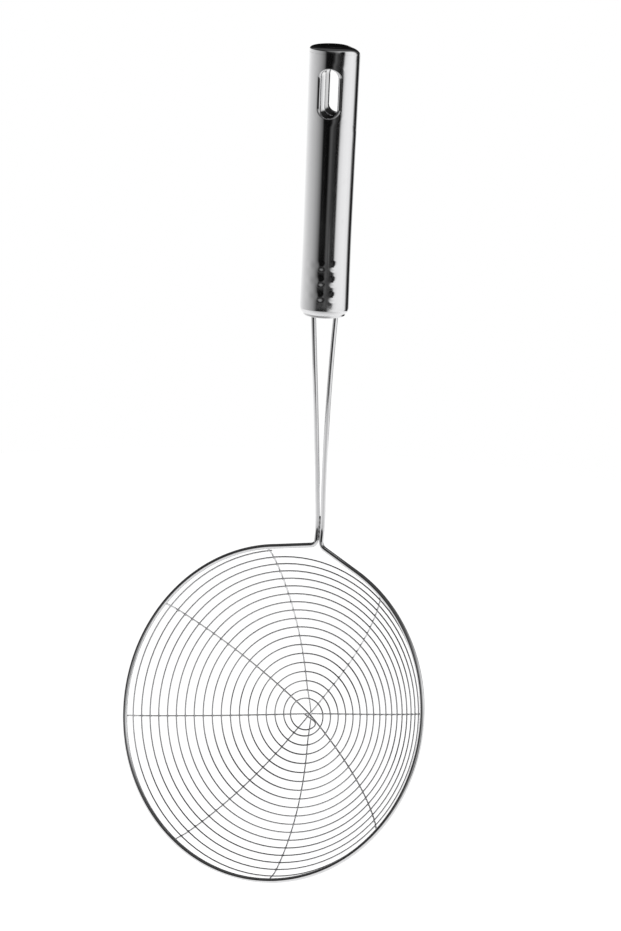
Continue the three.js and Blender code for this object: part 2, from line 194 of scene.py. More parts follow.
# Camera, at the place that the picture was taken from
CAMERA_PLACE = Vector((180.63, -917.55, 130.61)) * MM
CAMERA_SIDE = Vector((CAMERA_PLACE.x, CAMERA_PLACE.y, 0)).normalized()
CAMERA_RIGHT = Vector((0.97722, 0.20858, 0.0392))
CAMERA_UP = Vector((-0.09978, 0.28852, 0.95226))
IMAGE_HEIGHT = 931
FOCAL_PIXELS = 2200
SENSOR = 36
CLIP_NEAR, CLIP_FAR = 0.05, 20

# Finish of the steel: its tint, and where along the handle pressing left ripples, and how strong they are
STEEL_BLUENESS = 1.01
RIPPLE_HEIGHTS = (-66 * MM, -78 * MM)
RIPPLE_STRENGTHS = (0.25, 2.2)

# Studio: azimuth from the camera's side, to its right, and brightness where panels begin and end, and the
# heights of a ray between which one ring of panels gives way to another
LEFT_PANELS = ((-180, 1.0), (-150, 0.95), (-135, 0.85), (-97, 0.6), (-80, 0.5))
BACK_PANELS = ((143, 0.02), (152, 0.6), (160, 0.95), (180, 1.0))
WALL_PANELS = (
    *LEFT_PANELS, (-60, 0.34), (-46, 0.17), (-37, 0.006), (-12, 0.003), (-2, 0.1), (8, 0.045), (24, 0.006),
    (31, 0.01), (34, 0.08), (40, 0.69), (46, 0.83), (60, 0.95), (85, 1.0), (107, 0.9), (117, 0.22),
    (124, 0.01), *BACK_PANELS,
)
FOOT_SHADE = 0.1
FOOT_LEFT, FOOT_RIGHT = -60, 38
FOOT_PANELS = [
    (turn, max(shade, FOOT_SHADE) if FOOT_LEFT < turn < FOOT_RIGHT else shade)
    for turn, shade in WALL_PANELS
]
FOOT_EDGE = (-0.2, -0.238)
LEG_PANELS = (
    *LEFT_PANELS, (-60, 0.34), (-48, 0.2), (-40, 0.005), (8, 0.005), (20, 0.5), (32, 0.9), (60, 0.95),
    (107, 0.9), (117, 0.22), (124, 0.01), *BACK_PANELS,
)
LEG_EDGE = (-0.236, -0.243)
LOW_PANELS = (
    *LEFT_PANELS, (-60, 0.42), (10, 0.42), (30, 0.5), (44, 0.8), (60, 0.95), (85, 1.0), (102, 0.9),
    (114, 0.3), (123, 0.02), *BACK_PANELS,
)
LOW_EDGE = (-0.275, -0.36)
UPPER_PANELS = (
    (-180, 0.004), (-150, 0.02), (-125, 0.15), (-105, 0.04), (-50, 0.025), (-40, 0.06), (-25, 0.18),
    (0, 0.4), (30, 0.8), (70, 0.65), (100, 0.6), (120, 0.3), (140, 0.03), (180, 0.004),
)
UPPER_EDGE = (-0.1, 0.03)
TOP_SHADE = 0.07
TOP_EDGE = (0.5, 0.9)
PANEL_RISES = (
    (-180, 0), (-150, 0.05), (-120, 0.06), (-48, 0.06), (-30, 0.03), (12, 0), (24, 0.42), (40, 0.5),
    (60, 0.5), (107, 0.5), (150, 0.05), (180, 0),
)
FRONT_SHIFT = 9.5
FRONT_SHIFT_BEGIN = (-30, -2)
FRONT_SHIFT_END = (60, 110)
FRONT_SHIFT_HEIGHTS = (-0.18, -0.125)
FLOOR_RADIUS = 0.62
FLOOR_SIDES = 96
FLOOR_SHADE = 0.9
FLOOR_ROUGHNESS = 0.6
FLOOR_GAP = 0.1 * MM
FLOOR_GLOW = 0.95
FLOOR_NEAR, FLOOR_FAR = -0.15, 0.65
FLOOR_NEAR_GLOW, FLOOR_FAR_GLOW = 0.85, 0.42


# Small tools of the workshop

def start_piece():
    bpy.ops.object.select_all(action="DESELECT")


def smooth_step(value, low, high):
    share = min(max((value - low) / (high - low), 0), 1)
    return share * share * (3 - 2 * share)


def edit_all():
    bpy.ops.object.mode_set(mode="EDIT")
    bpy.ops.mesh.select_all(action="SELECT")


def close_seams(distance=POINT_SEAM):
    """Merges doubled points and turns all faces outwards."""
    edit_all()
    bpy.ops.mesh.remove_doubles(threshold=distance)
    bpy.ops.mesh.normals_make_consistent(inside=False)
    bpy.ops.object.mode_set(mode="OBJECT")


def apply_modifier(piece, kind, **settings):
    modifier = piece.modifiers.new(kind.title(), kind)
    for name, value in settings.items():
        setattr(modifier, name, value)
    bpy.context.view_layer.objects.active = piece
    bpy.ops.object.modifier_apply(modifier=modifier.name)


def fit_piece(piece, name, nodes, material, crease=CREASE):
    """Names a finished piece, gives it its material and lets it ride on the part in its nodes' place."""
    piece.name = name
    piece.data.name = name
    piece.data.materials.clear()
    piece.data.materials.append(material)
    start_piece()
    piece.select_set(True)
    bpy.context.view_layer.objects.active = piece
    bpy.ops.object.shade_smooth_by_angle(angle=radians(crease))
    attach(piece, "root")
    if nodes:
        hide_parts(*nodes)
    return piece


def turned(profile, sides):
    """A turned piece: a profile of (radius, height) points, drawn point by point and spun about Z."""
    start_piece()
    radius, height = profile[0]
    bpy.ops.mesh.primitive_plane_add(size=MM, location=(0, 0, 0))
    edit_all()
    bpy.ops.mesh.merge(type="CENTER")
    bpy.ops.transform.translate(value=(radius, 0, height))
    for (r0, z0), (r1, z1) in zip(profile, profile[1:]):
        bpy.ops.mesh.extrude_region_move(TRANSFORM_OT_translate={"value": (r1 - r0, 0, z1 - z0)})
    bpy.ops.mesh.select_all(action="SELECT")
    bpy.ops.mesh.spin(steps=sides, angle=2 * pi, center=(0, 0, 0), axis=(0, 0, 1))
    bpy.ops.object.mode_set(mode="OBJECT")
    close_seams()
    return bpy.context.object


def quarter(radius, height, size, rise, start, end, steps):
    """Points of an arc in a profile, with a size across and a rise along, from one angle to another."""
    angles = [radians(start + (end - start) * i / steps) for i in range(steps + 1)]
    return [(radius + size * cos(a), height + rise * sin(a)) for a in angles]


def shaped_grid(columns, rows, place):
    """A grid whose points are moved to place(column, row)."""
    start_piece()
    counts = {"x_subdivisions": columns, "y_subdivisions": rows}
    bpy.ops.mesh.primitive_grid_add(**counts, size=1, location=(0, 0, 0))
    piece = bpy.context.object
    for point in piece.data.vertices:
        column = round((point.co.x + 0.5) * columns)
        row = round((point.co.y + 0.5) * rows)
        point.co = place(column, row)
    return piece


def wire(path, radius, sides, swell=None):
    """A round wire along a path, with softly rounded ends and a swell for each point, made a mesh."""
    start_piece()
    bpy.ops.curve.primitive_bezier_curve_add(location=(0, 0, 0))
    piece = bpy.context.object
    curve = piece.data
    curve.splines.clear()
    curve.dimensions = "3D"
    curve.bevel_depth = radius
    curve.bevel_resolution = (sides - 4) // 2
    curve.use_fill_caps = True
    rounding = [(share * radius, sqrt(1 - (1 - share) ** 2)) for share in WIRE_END_SHARES]
    first = (path[1] - path[0]).normalized()
    last = (path[-2] - path[-1]).normalized()
    points = [(path[0] + first * step, size) for step, size in rounding]
    points += list(zip(path, swell or [1] * len(path)))[1:-1]
    points += [(path[-1] + last * step, size) for step, size in reversed(rounding)]
    spline = curve.splines.new("POLY")
    spline.points.add(len(points) - 1)
    for point, (place, size) in zip(spline.points, points):
        point.co = (*place, 1)
        point.radius = size
    bpy.ops.object.convert(target="MESH")
    close_seams()
    return bpy.context.object


# Handle

def handle_radius(height):
    """The handle's radius, which grows from its waist towards the top and the foot."""
    above = height > WAIST_HEIGHT
    flare = (TOP_RADIUS if above else FOOT_RADIUS) - WAIST_RADIUS
    end = HANDLE_TOP if above else CURL_START
    return WAIST_RADIUS + flare * ((height - WAIST_HEIGHT) / (end - WAIST_HEIGHT)) ** FLARE_POWER


def on_front(x, z, depth):
    """A point of the handle's front, sunk below its round by a depth."""
    return Vector((x, depth - sqrt(max(handle_radius(z) ** 2 - x * x, 0)), z))


def shell_border():
    """Turn and height of points round the edge of the upper front shell, from its lower left corner."""
    half = HANDLE_SIDES // 2
    turns = [-90 + 180 * i / half for i in range(half)]
    whole = HANDLE_TOP - SHELL_END
    heights = [SHELL_END + whole * i / SHELL_SIDE_STEPS for i in range(SHELL_SIDE_STEPS)]
    low = [(turn, SHELL_END) for turn in turns]
    right = [(90, height) for height in heights]
    high = [(-turn, HANDLE_TOP) for turn in turns]
    left = [(-90, -height) for height in heights]
    return low + right + high + left


def slot_rows(bead, roll):
    """Rows round the slot from the lips' seam to the dish's edge: offset from the clear slot, depth
    below the tube's round and, on a lip's rounded end, distance from the middle of the tube."""
    angles = [radians(90 * i / ROLL_STEPS) for i in range(ROLL_STEPS + 1)]
    size = roll + bead
    seam = LIP_SEAM / 2
    rows = [(LIP_SEAM_ROUND * (1 - sin(a)), 0, seam + LIP_SEAM_ROUND * (1 - cos(a))) for a in angles]
    if bead:
        rows.append((0, size, None))
    outer = [(size * (1 - cos(a)) - bead, size * (1 - sin(a))) for a in angles]
    span = SLOT_DISH_REACH - roll
    outer += [(roll + span * i / DISH_STEPS, 0) for i in range(1, DISH_STEPS + 1)]
    for offset, depth in outer:
        dish = SLOT_DISH_DEPTH * (1 - smooth_step(offset, 0, SLOT_DISH_REACH))
        rows.append((offset, depth + dish, None))
    return rows


def upper_shell(bead):
    """One half of the tube round the hang slot, with its lip, bead, rolled edge and dish."""
    border = shell_border()
    count = len(slot_rows(bead, SLOT_ROLL))
    middle = (SLOT_HEIGHT - SLOT_WIDTH) / 2

    def place(column, row):
        turn, height = border[column % len(border)]
        spine = Vector((0, min(max(height, -middle), middle)))
        outwards = (Vector((TOP_RADIUS * radians(turn), height)) - spine).normalized()
        roll = SLOT_ROLL + (SLOT_END_ROLL - SLOT_ROLL) * abs(outwards.y)
        offset, depth, from_middle = slot_rows(bead, roll)[min(row, count - 1)]
        x, z = spine + outwards * (SLOT_WIDTH / 2 + offset)
        share = max(0, row - count + 1) / SHELL_STEPS
        start = asin(x / handle_radius(z))
        angle = start + (radians(turn) - start) * share
        z += (height - z) * share
        point = on_front(handle_radius(z) * sin(angle), z, depth)
        if from_middle:
            point.y = -from_middle
        return point

    return shaped_grid(len(border), count + SHELL_STEPS - 1, place)


def raise_bumps(piece):
    """Raises the rows of low oval grip bumps on the front of the tube."""
    columns = [(i - (BUMP_COLUMNS - 1) / 2) * BUMP_COLUMN_TURN for i in range(BUMP_COLUMNS)]
    rows = [LOWEST_BUMP + i * BUMP_ROW_PITCH for i in range(BUMP_ROWS)]
    for point in piece.data.vertices:
        turn = degrees(atan2(point.co.x, -point.co.y))
        outwards = Vector((point.co.x, point.co.y, 0)).normalized()
        for column in columns:
            across = FOOT_RADIUS * radians(turn - column) / (BUMP_WIDTH / 2)
            for row in rows:
                up = (point.co.z - row) / (BUMP_HEIGHT / 2)
                reach = min(sqrt(across ** 2 + up ** 2), 1)
                point.co += outwards * BUMP_RISE * (1 + cos(pi * reach)) / 2


def lower_tube():
    """The tube below the slot, with its curled lower edge and close rings where the bumps go."""
    curl = quarter(FOOT_RADIUS - CURL_RADIUS, CURL_START, CURL_RADIUS, CURL_HEIGHT, -90, 0, CURL_STEPS)
    bumps_start = LOWEST_BUMP - BUMP_HEIGHT / 2
    bumps_end = bumps_start + (BUMP_ROWS - 1) * BUMP_ROW_PITCH + BUMP_HEIGHT
    count = round((bumps_end - bumps_start) / BUMP_RING_PITCH)
    rings = [bumps_start + (bumps_end - bumps_start) * i / count for i in range(count + 1)]
    plain = [bumps_end + (SHELL_END - bumps_end) * i / PLAIN_RINGS for i in range(1, PLAIN_RINGS + 1)]
    profile = curl + [(handle_radius(height), height) for height in rings + plain]
    piece = turned(profile, HANDLE_SIDES)
    raise_bumps(piece)
    return piece


def shoulder(outwards):
    """Width and height of the rounding at the handle's end, which grows towards one side."""
    share = ((1 + outwards.dot(SHOULDER_SIDE)) / 2) ** SHOULDER_GROWTH
    return [low + (high - low) * share for low, high in (SHOULDER_WIDTHS, SHOULDER_HEIGHTS)]


def round_off(piece):
    """Draws the tube's upper edge in, so that it runs on into the rounded end cap."""
    for point in piece.data.vertices:
        outwards = Vector((point.co.x, point.co.y)).normalized()
        width, height = shoulder(outwards)
        up = (point.co.z - CAP_TOP + height) / height
        if up > 0:
            point.co -= (outwards * width * (1 - sqrt(1 - up * up))).to_3d()


def handle_tube(material):
    lower = lower_tube()
    front = upper_shell(0)
    back = upper_shell(BACK_BEAD)
    back.data.transform(Matrix.Rotation(pi, 4, "Z"))
    start_piece()
    for piece in (lower, front, back):
        piece.select_set(True)
    bpy.context.view_layer.objects.active = lower
    bpy.ops.object.join()
    close_seams(SHELL_SEAM)
    round_off(lower)
    apply_modifier(lower, "SOLIDIFY", thickness=HANDLE_WALL, offset=-1, use_even_offset=True)
    return fit_piece(lower, "handle_tube_shell", ["handle_tube"], material, SOFT_CREASE)


def cap_profile(outwards):
    """The cap's outline on one side, from the middle of its spigot to the middle of its dished top."""
    seat = HANDLE_TOP + SEAM_GAP
    width, height = shoulder(outwards)
    start = CAP_TOP - height
    first = degrees(asin(max(0, seat - start) / height))
    edge = quarter(TOP_RADIUS - width, start, width, height, first, 90, CAP_ROUND_STEPS)
    shares = [1 - i / CAP_DISH_STEPS for i in range(1, CAP_DISH_STEPS + 1)]
    dish = [((TOP_RADIUS - width) * share, CAP_TOP - CAP_DISH * (1 - share ** 2)) for share in shares]
    return [(0, CAP_LOW), (CAP_SPIGOT, CAP_LOW), (CAP_SPIGOT, seat), (edge[0][0], seat), *edge, *dish]


def end_cap(material):
    turns = [2 * pi * i / HANDLE_SIDES for i in range(HANDLE_SIDES)]
    sides = [Vector((cos(turn), sin(turn))) for turn in turns]
    profiles = [cap_profile(side) for side in sides]

    def place(column, row):
        radius, height = profiles[column % HANDLE_SIDES][row]
        return Vector((*(sides[column % HANDLE_SIDES] * radius), height))

    piece = shaped_grid(HANDLE_SIDES, len(profiles[0]) - 1, place)
    close_seams()
    return fit_piece(piece, "end_cap_dome", ["handle_end_cap"], material)


def bottom_plug(material):
    edge = FOOT_RADIUS - CURL_RADIUS - SEAM_GAP
    shares = [i / PLUG_DOME_STEPS for i in range(PLUG_DOME_STEPS)]
    dome = [(edge * s, PLUG_LOW.z + PLUG_DOME * s * s) for s in shares]
    size = PLUG_EDGE_ROUND
    centre = (edge - size, PLUG_LOW.z + PLUG_DOME + size)
    rounded = quarter(*centre, size, size, PLUG_EDGE_START, 0, PLUG_EDGE_STEPS)
    profile = dome + rounded + [(edge, PLUG_HIGH.z), (0, PLUG_HIGH.z)]
    piece = turned(profile, HANDLE_SIDES)
    return fit_piece(piece, "bottom_plug_disc", ["handle_bottom_plug"], material)


# Rim and legs

def bowl_frame():
    """The bowl's own frame: the rim's centre, +Y towards the neck and +Z out of the mouth."""
    turn = Matrix.Rotation(radians(BOWL_TURN), 4, "Z")
    tilt = Matrix.Rotation(radians(90 - BOWL_TILT), 4, "X")
    swing = Matrix.Rotation(radians(NECK_SWING), 4, "Z")
    turned_bowl = turn @ tilt @ swing
    return Matrix.Translation(NECK - turned_bowl @ Vector((0, NECK_REACH, 0))) @ turned_bowl


BOWL = bowl_frame()


def in_rim_plane(radius, azimuth):
    return Vector((radius * sin(radians(azimuth)), radius * cos(radians(azimuth))))


def on_rim(azimuth):
    return BOWL @ in_rim_plane(RIM_RADIUS, azimuth).to_3d()


def leg_point(side, share):
    """A leg from the neck, at share 0, to the plug, at share 1; side 0 is midway between the legs."""
    grown = (LEG_SPREAD_AT_PLUG - LEG_SPREAD_AT_NECK) * share ** LEG_SPREAD_POWER
    drift = (1 - share) ** LEG_DRIFT_POWER
    height = NECK.z + (HANDLE_BOTTOM - NECK.z) * share
    across = Vector((1, 0, 0))
    sideways = (BOWL.to_3x3() @ across).lerp(across, share).normalized()
    lean = max(0, 1 - (height - NECK.z) / NECK_LEAN_REACH) ** 2
    shift = LEG_SHIFTS[0] + (LEG_SHIFTS[1] - LEG_SHIFTS[0]) * share ** 2
    middle = Vector((NECK.x * drift + shift, (NECK.y + NECK_DIP) * drift - NECK_DIP * lean, height))
    return middle + sideways * (side * (LEG_SPREAD_AT_NECK + grown) - NECK_LEAN * lean)


def leg_and_neck(side):
    """A leg from its end in the handle down to the neck, with its bend out to the rim."""
    inside = Vector((side * LEG_SPREAD_AT_PLUG + LEG_SHIFTS[1], 0, HANDLE_BOTTOM + LEG_LENGTH_IN_HANDLE))
    leg = [inside] + [leg_point(side, i / LEG_STEPS) for i in range(LEG_STEPS, 1, -1)]
    corner = leg_point(side, 0)
    start = corner + (leg[-1] - corner).normalized() * NECK_BEND_REACH
    end = corner + (on_rim(side * NECK_TANGENT_AZIMUTH) - corner).normalized() * NECK_BEND_REACH
    shares = [i / NECK_BEND_STEPS for i in range(NECK_BEND_STEPS + 1)]
    bend = [start.lerp(corner, t).lerp(corner.lerp(end, t), t) for t in shares]
    return leg + bend


def rim_wire(material):
    sweep = 360 - 2 * NECK_TANGENT_AZIMUTH
    circle = [on_rim(-NECK_TANGENT_AZIMUTH - sweep * i / RIM_STEPS) for i in range(RIM_STEPS + 1)]
    path = leg_and_neck(-1) + circle + leg_and_neck(1)[::-1]
    piece = wire(path, RIM_WIRE_RADIUS, RIM_WIRE_SIDES)
    return fit_piece(piece, "rim_and_legs", ["rim_wire"], material)


def neck_weld(material):
    """The rippled bead between the two legs, just above the neck; its dark steel is partly the weld's own
    tone and partly painted shade between the touching legs.
    """
    whole = HANDLE_BOTTOM - NECK.z
    steps = NECK_WELD_RIPPLES * NECK_WELD_RIPPLE_STEPS
    shares = [i / steps for i in range(steps + 1)]
    path = [leg_point(0, (NECK_BEND_REACH + NECK_WELD_LENGTH * share) / whole) for share in shares]
    ripples = [abs(sin(pi * NECK_WELD_RIPPLES * share)) for share in shares]
    swell = [1 - NECK_WELD_RIPPLE_DEPTH + NECK_WELD_RIPPLE_DEPTH * ripple for ripple in ripples]
    piece = wire(path, NECK_WELD_RADIUS, CROSS_WIRE_SIDES, swell)
    return fit_piece(piece, "neck_weld_bead", [], material)


# Bowl wires

RIM_SAG = BOWL_DEPTH - RIM_WIRE_RADIUS - CROSS_WIRE_RADIUS - FIT_GAP
CENTRE_RISE = (RIM_RADIUS ** 2 - RIM_SAG ** 2) / (2 * RIM_SAG)
CROSS_WIRE_SPHERE = CENTRE_RISE + BOWL_DEPTH
SPIRAL_SPHERE = CROSS_WIRE_SPHERE - CROSS_WIRE_RADIUS - SPIRAL_WIRE_RADIUS - FIT_GAP


def on_sphere(size, place):
    """A point of a sphere about the bowl's centre of curvature, behind a place in the rim's plane."""
    return BOWL @ Vector((place.x, place.y, CENTRE_RISE - sqrt(size ** 2 - place.length_squared)))


def cross_wire_lift(layer, share):
    """How far a cross wire's layer humps it outwards, at a share of its way from crossing to end."""
    hump = layer * (2 * CROSS_WIRE_RADIUS + FIT_GAP)
    return hump * (1 - smooth_step(share * RIM_RADIUS, 0, CROSSING_HUMP_REACH))


def cross_wire_end(azimuth):
    return in_rim_plane(RIM_RADIUS - CROSS_WIRE_STOP, azimuth)


def cross_wire_half(azimuth, layer):
    """Half of a cross wire, from its end, which is tucked under the rim, to the crossing."""
    end = cross_wire_end(azimuth)
    half = []
    for i in range(CROSS_WIRE_HALF_STEPS, -1, -1):
        share = i / CROSS_WIRE_HALF_STEPS
        tuck = CROSS_WIRE_TUCK * smooth_step(share, CROSS_WIRE_TUCK_START, 1)
        size = CROSS_WIRE_SPHERE + cross_wire_lift(layer, share) - tuck
        half.append(on_sphere(size, CROSSING.lerp(end, share)))
    return half


def cross_wires(material):
    for layer, (start, end) in enumerate(CROSS_WIRE_ENDS):
        path = cross_wire_half(start, layer) + cross_wire_half(end, layer)[-2::-1]
        piece = wire(path, CROSS_WIRE_RADIUS, CROSS_WIRE_SIDES)
        name = f"cross_wire_{layer + 1}"
        fit_piece(piece, name + "_drawn", [name], material)


def winding_point(turn):
    """Where the wound wire passes in the rim's plane, some turns in from its outer end."""
    outer = SPIRAL_SPHERE * asin(SPIRAL_OUTER_RADIUS / SPIRAL_SPHERE)
    late = max(0, turn - SPIRAL_TURNS + SPIRAL_TIGHT_TURNS)
    distance = outer - SPIRAL_PITCH * turn + SPIRAL_TIGHTENING * late ** 2
    radius = SPIRAL_SPHERE * sin(distance / SPIRAL_SPHERE)
    azimuth = SPIRAL_START_AZIMUTH - 360 * turn
    oval = SPIRAL_OVAL * cos(2 * radians(azimuth - SPIRAL_OVAL_AZIMUTH))
    centre = SPIRAL_INNER_CENTRE.lerp(SPIRAL_OUTER_CENTRE, (radius / SPIRAL_OUTER_RADIUS) ** 2)
    return centre + in_rim_plane(radius + oval, azimuth)


def spiral_path():
    """The spiral's places in the rim's plane, from its outer end to the tail of its hook."""
    steps = round(SPIRAL_TURNS * SPIRAL_STEPS_PER_TURN)
    flat = [winding_point(SPIRAL_TURNS * i / steps) for i in range(steps + 1)]
    hook_start = flat[-1].copy()
    run = hook_start - flat[-2]
    heading = atan2(run.y, run.x)
    for i in range(1, HOOK_STEPS + 1):
        turn = radians(HOOK_TURN) * i / HOOK_STEPS
        on_hook = Vector((sin(turn), 1 - cos(turn))) * HOOK_RADIUS
        on_hook.rotate(Matrix.Rotation(heading, 2))
        flat.append(hook_start + on_hook)
    tail_heading = heading + radians(HOOK_TURN)
    tail = Vector((cos(tail_heading), sin(tail_heading))) * TAIL_LENGTH
    tail_start = flat[-1].copy()
    flat += [tail_start + tail * i / TAIL_STEPS for i in range(1, TAIL_STEPS + 1)]
    return flat


def spiral_wire(material):
    path = [on_sphere(SPIRAL_SPHERE, place) for place in spiral_path()]
    piece = wire(path, SPIRAL_WIRE_RADIUS, SPIRAL_WIRE_SIDES)
    return fit_piece(piece, "spiral_wire_drawn", ["spiral_wire"], material)


def weld_places():
    """Where the cross wires are spot-welded to the spiral's turns and to the rim."""
    flat = spiral_path()
    between = (CROSS_WIRE_SPHERE + SPIRAL_SPHERE + SPIRAL_WIRE_RADIUS - CROSS_WIRE_RADIUS) / 2
    places = []
    for layer, ends in enumerate(CROSS_WIRE_ENDS):
        for azimuth in ends:
            end = cross_wire_end(azimuth)
            for start, stop in zip(flat, flat[1:]):
                met = intersect_line_line_2d(start, stop, CROSSING, end)
                if met:
                    share = (met - CROSSING).length / (end - CROSSING).length
                    if cross_wire_lift(layer, share) < SPOT_WELD_GAP:
                        places.append(on_sphere(between, met))
            places.append(BOWL @ Vector((*end, -RIM_WIRE_RADIUS)))
    return places


def spot_welds(material):
    """Small nuggets of fused wire at the crossings: one is shaped, and the others are copies of it. Their
    dark steel is partly the welds' own tone and partly painted contact shade.
    """
    start_piece()
    bpy.ops.mesh.primitive_ico_sphere_add(subdivisions=2, radius=SPOT_WELD_RADIUS, location=(0, 0, 0))
    nugget = bpy.context.object
    edit_all()
    bpy.ops.transform.resize(value=(1, 1, SPOT_WELD_FLATNESS))
    unevenness = SPOT_WELD_UNEVENNESS * SPOT_WELD_RADIUS
    bpy.ops.transform.vertex_random(offset=unevenness, seed=SPOT_WELD_SEED)
    bpy.ops.object.mode_set(mode="OBJECT")
    copies = [nugget]
    places = weld_places()
    for i, place in enumerate(places):
        copy = nugget
        if i < len(places) - 1:
            copy = nugget.copy()
            copy.data = nugget.data.copy()
            bpy.context.scene.collection.objects.link(copy)
            copies.append(copy)
        turn = Matrix.Rotation(i, 4, "Z")
        copy.data.transform(Matrix.Translation(place) @ BOWL.to_3x3().to_4x4() @ turn)
    start_piece()
    for copy in copies:
        copy.select_set(True)
    bpy.context.view_layer.objects.active = nugget
    bpy.ops.object.join()
    return fit_piece(nugget, "spot_welds", [], material, SOFT_CREASE)


# Materials

def node(tree, kind, inputs=None, **settings):
    """Adds a node; an input is a plain value, or another node's output that is linked to it."""
    made = tree.nodes.new("ShaderNode" + kind)
    for name, value in settings.items():
        setattr(made, name, value)
    for key, value in (inputs or {}).items():
        if isinstance(value, bpy.types.NodeSocket):
            tree.links.new(value, made.inputs[key])
        else:
            made.inputs[key].default_value = value
    return made


def spread(tree, value, low, high, new_low, new_high):
    """A value between low and high, spread smoothly from new_low to new_high."""
    made = node(tree, "MapRange", {"Value": value}, interpolation_type="SMOOTHSTEP")
    for key, number in (("From Min", low), ("From Max", high), ("To Min", new_low), ("To Max", new_high)):
        made.inputs[key].default_value = number
    return made.outputs["Result"]


def arithmetic(tree, operation, first, second):
    return node(tree, "Math", {0: first, 1: second}, operation=operation).outputs["Value"]


def along(tree, place, direction):
    """How far a place lies along a direction."""
    return node(tree, "VectorMath", {0: place, 1: direction}, operation="DOT_PRODUCT").outputs["Value"]


def mix(tree, share, first, second):
    """A colour between two others, each of them a plain colour or a node's output."""
    made = node(tree, "Mix", data_type="RGBA")
    colour_sockets = [socket for socket in made.inputs if socket.type == "RGBA"]
    for socket, value in zip((made.inputs["Factor"], *colour_sockets), (share, first, second)):
        if isinstance(value, bpy.types.NodeSocket):
            tree.links.new(value, socket)
        else:
            socket.default_value = value
    return [socket for socket in made.outputs if socket.type == "RGBA"][0]


def grey(shade):
    return (shade, shade, STEEL_BLUENESS * shade, 1)


def start_group(name, numbers, output):
    """A node group that takes a place on the piece and some numbers, and puts out one value."""
    tree = bpy.data.node_groups.new(name, "ShaderNodeTree")
    tree.interface.new_socket("Place", in_out="INPUT", socket_type="NodeSocketVector")
    for number in numbers:
        tree.interface.new_socket(number, in_out="INPUT", socket_type="NodeSocketFloat")
    tree.interface.new_socket(output, in_out="OUTPUT", socket_type="NodeSocketFloat")
    return tree, tree.nodes.new("NodeGroupInput").outputs, tree.nodes.new("NodeGroupOutput").inputs


def brushed_lines_group():
    """Fine lines that a polishing belt leaves along the handle, as a value about a half."""
    tree, given, out = start_group("brushed_lines", ["Across", "Along"], "Lines")
    sizes = {"X": given["Across"], "Y": given["Across"], "Z": given["Along"]}
    stretch = node(tree, "CombineXYZ", sizes).outputs["Vector"]
    stretched = node(tree, "VectorMath", {0: given["Place"], 1: stretch}, operation="MULTIPLY")
    place = stretched.outputs["Vector"]
    broad = node(tree, "TexNoise", {"Vector": place, "Scale": 1, "Detail": 2, "Roughness": 0.5})
    fine = node(tree, "TexNoise", {"Vector": place, "Scale": 3.7, "Detail": 3, "Roughness": 0.7})
    both = arithmetic(tree, "ADD", broad.outputs["Fac"], fine.outputs["Fac"])
    tree.links.new(arithmetic(tree, "MULTIPLY", both, 0.5), out["Lines"])
    return tree


def handling_marks_group():
    """Soft smudges from hands and cloths, as patches from 0 to 1."""
    tree, given, out = start_group("handling_marks", ["Scale", "Cover"], "Marks")
    settings = {"Detail": 5, "Roughness": 0.6, "Distortion": 0.6}
    settings.update(Vector=given["Place"], Scale=given["Scale"])
    cloud = node(tree, "TexNoise", settings).outputs["Fac"]
    raised = arithmetic(tree, "ADD", cloud, given["Cover"])
    tree.links.new(spread(tree, raised, 0.75, 1.15, 0, 1), out["Marks"])
    return tree


def hair_scratches_group():
    """Sparse hair-fine scratches in two directions, as lines of 1 on 0."""
    tree, given, out = start_group("hair_scratches", ["Scale"], "Scratches")
    layers = []
    for turn, squeeze in (((0.04, 0.07, 0), (1, 1, 0.02)), ((-0.08, 0.05, 1), (1, 1, 0.03))):
        settings = {"Vector": given["Place"], "Rotation": turn, "Scale": squeeze}
        place = node(tree, "Mapping", settings).outputs["Vector"]
        strands = node(tree, "TexNoise", {"Vector": place, "Scale": given["Scale"]}).outputs["Fac"]
        layers.append(spread(tree, strands, 0.7, 0.74, 0, 1))
    tree.links.new(arithmetic(tree, "MAXIMUM", *layers), out["Scratches"])
    return tree


BRUSHED_LINES = brushed_lines_group()
HANDLING_MARKS = handling_marks_group()
HAIR_SCRATCHES = hair_scratches_group()


def use_group(tree, group, place, **numbers):
    made = node(tree, "Group", node_tree=group)
    tree.links.new(place, made.inputs["Place"])
    for name, value in numbers.items():
        made.inputs[name].default_value = value
    return made.outputs[0]


def start_steel(name):
    """A steel material with its nodes, its shader and the place on the piece."""
    material = bpy.data.materials.new(name)
    material.use_nodes = True
    tree = material.node_tree
    shader = tree.nodes["Principled BSDF"]
    shader.inputs["Metallic"].default_value = 1
    place = node(tree, "TexCoord").outputs["Object"]
    return material, tree, shader, place


def press_in(tree, shader, height, strength, distance):
    """Fine relief of a surface."""
    bump = node(tree, "Bump", {"Height": height, "Strength": strength, "Distance": distance})
    tree.links.new(bump.outputs["Normal"], shader.inputs["Normal"])


